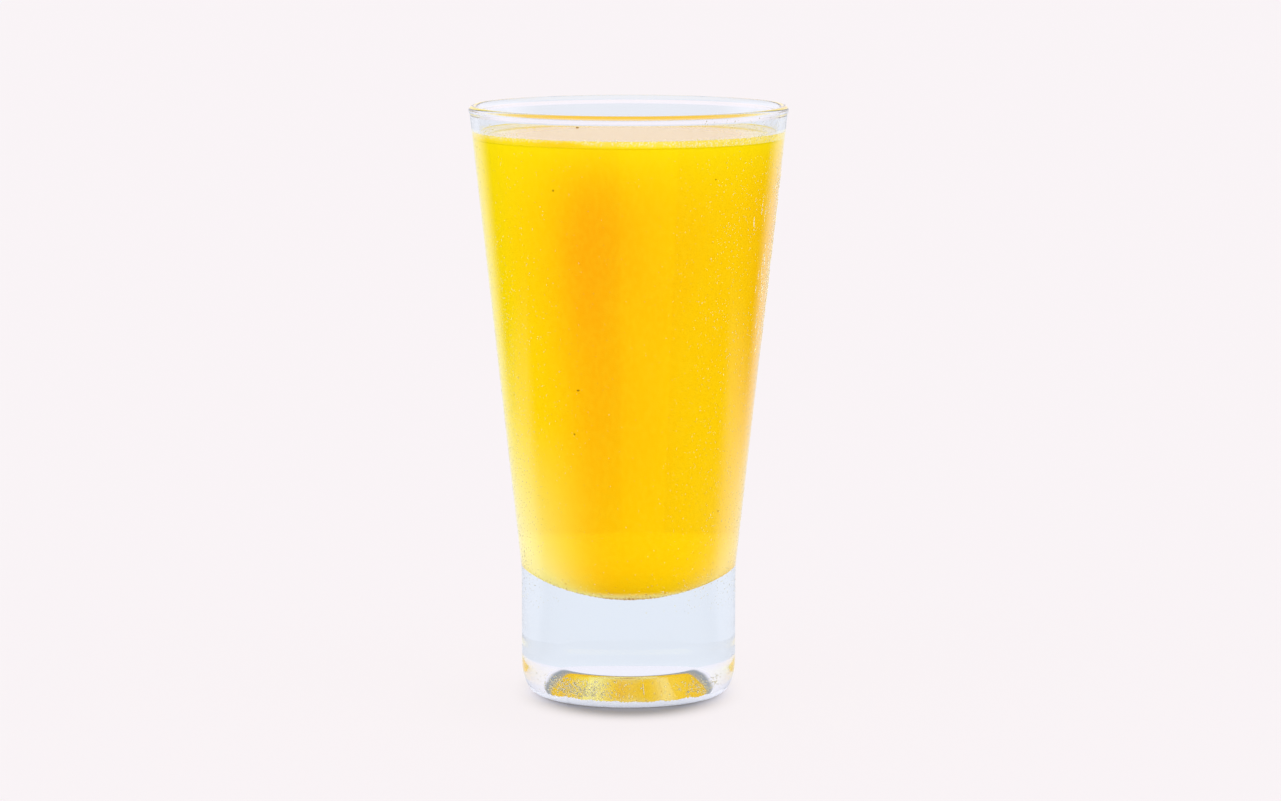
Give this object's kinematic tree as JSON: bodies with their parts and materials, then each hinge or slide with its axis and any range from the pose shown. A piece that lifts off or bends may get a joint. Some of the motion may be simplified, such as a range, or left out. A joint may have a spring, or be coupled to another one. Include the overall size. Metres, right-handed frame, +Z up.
{
  "type": "glass of mango juice",
  "caption": "Tall clear glass that tapers down to a thick solid foot, filled nearly to the rim with opaque mango juice under a thin froth.",
  "frame": {"origin": "centre of the plane that the foot's bearing ring stands on", "axes": "+Z up along the glass's axis; the glass is turned about it, so X and Y are alike, and the froth's thin spot faces -Y and -X"},
  "size_m": [0.085, 0.085, 0.158],
  "materials": {
    "glass": "clear, fire-polished, with fine dew",
    "juice": "opaque smooth mango juice with fine pulp",
    "froth": "pale film of fine bubbles"
  },
  "bodies": {
    "root": {"glass": "glass", "juice": "juice", "froth": "froth"}
  },
  "joints": []
}
